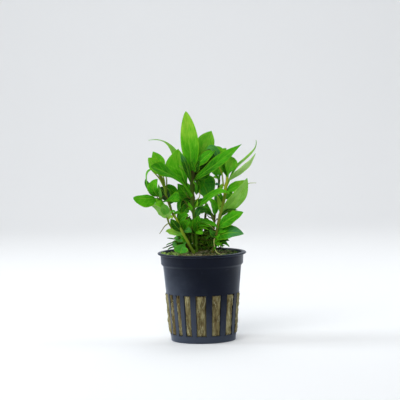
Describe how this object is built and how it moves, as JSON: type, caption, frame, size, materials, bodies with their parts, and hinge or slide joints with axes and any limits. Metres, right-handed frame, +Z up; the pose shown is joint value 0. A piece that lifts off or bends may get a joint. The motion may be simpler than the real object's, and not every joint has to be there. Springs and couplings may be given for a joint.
{
  "type": "potted aquarium plant",
  "caption": "Small bushy green aquarium plant with lance-shaped leaves, rooted in a mineral wool plug inside a dark tapered net pot with slotted sides.",
  "frame": {"origin": "centre of the pot's flat underside, which stands on the surface", "axes": "+Z up along the pot's axis, -Y towards the side that the picture shows, +X to that side's right"},
  "size_m": [0.0699, 0.05, 0.1296],
  "materials": {
    "pot_plastic": "satin",
    "mineral_wool": "matte",
    "stem_green": "satin",
    "stem_brown": "satin",
    "leaf": "satin",
    "leaf_pale": "satin",
    "moss": "matte"
  },
  "bodies": {
    "root": {"leaf_back_big_right": "leaf", "leaf_back_low": "leaf", "leaf_back_rear_left": "leaf", "leaf_back_rear_right": "leaf", "leaf_centre_arching_left": "leaf", "leaf_centre_arching_right": "leaf", "leaf_centre_big_left": "leaf", "leaf_centre_broad_left": "leaf", "leaf_centre_edge": "leaf", "leaf_centre_hanging": "leaf", "leaf_centre_long_right": "leaf", "leaf_centre_low_left": "leaf", "leaf_centre_low_right": "leaf", "leaf_centre_shaded": "leaf", "leaf_centre_short_right": "leaf", "leaf_centre_top": "leaf", "leaf_centre_upper_right": "leaf", "leaf_dark_left": "leaf", "leaf_dark_rear": "leaf", "leaf_dark_right": "leaf", "leaf_front_bottom": "leaf", "leaf_front_dark": "leaf", "leaf_front_pale": "leaf", "leaf_left_behind": "leaf", "leaf_left_folded": "leaf", "leaf_left_outer_arch": "leaf", "leaf_left_top_back": "leaf", "leaf_left_top_front": "leaf", "leaf_low_outer": "leaf", "leaf_low_overlap": "leaf", "leaf_low_pale": "leaf_pale", "leaf_low_rounded": "leaf", "leaf_right_big_pale": "leaf_pale", "leaf_right_dark_edge": "leaf", "leaf_right_inner": "leaf", "leaf_right_low": "leaf", "leaf_right_lowest": "leaf", "leaf_right_middle": "leaf", "leaf_right_pale_arch": "leaf_pale", "leaf_right_thin_arch": "leaf", "leaf_right_top": "leaf", "leaf_right_top_back": "leaf", "leaf_thin_back": "leaf", "leaf_thin_curled": "leaf", "leaf_thin_front": "leaf", "net_pot": "pot_plastic", "stem_back": "stem_brown", "stem_centre": "stem_green", "stem_front_left": "stem_green", "stem_left": "stem_brown", "stem_left_low": "stem_brown", "stem_right": "stem_green", "stem_right_dark": "stem_brown", "stem_right_thin": "stem_green", "tuft_foot_left": "moss", "tuft_foot_outer": "moss", "tuft_foot_right": "moss", "tuft_middle_left": "moss", "tuft_middle_right": "moss", "wool_plug": "mineral_wool"}
  },
  "joints": []
}
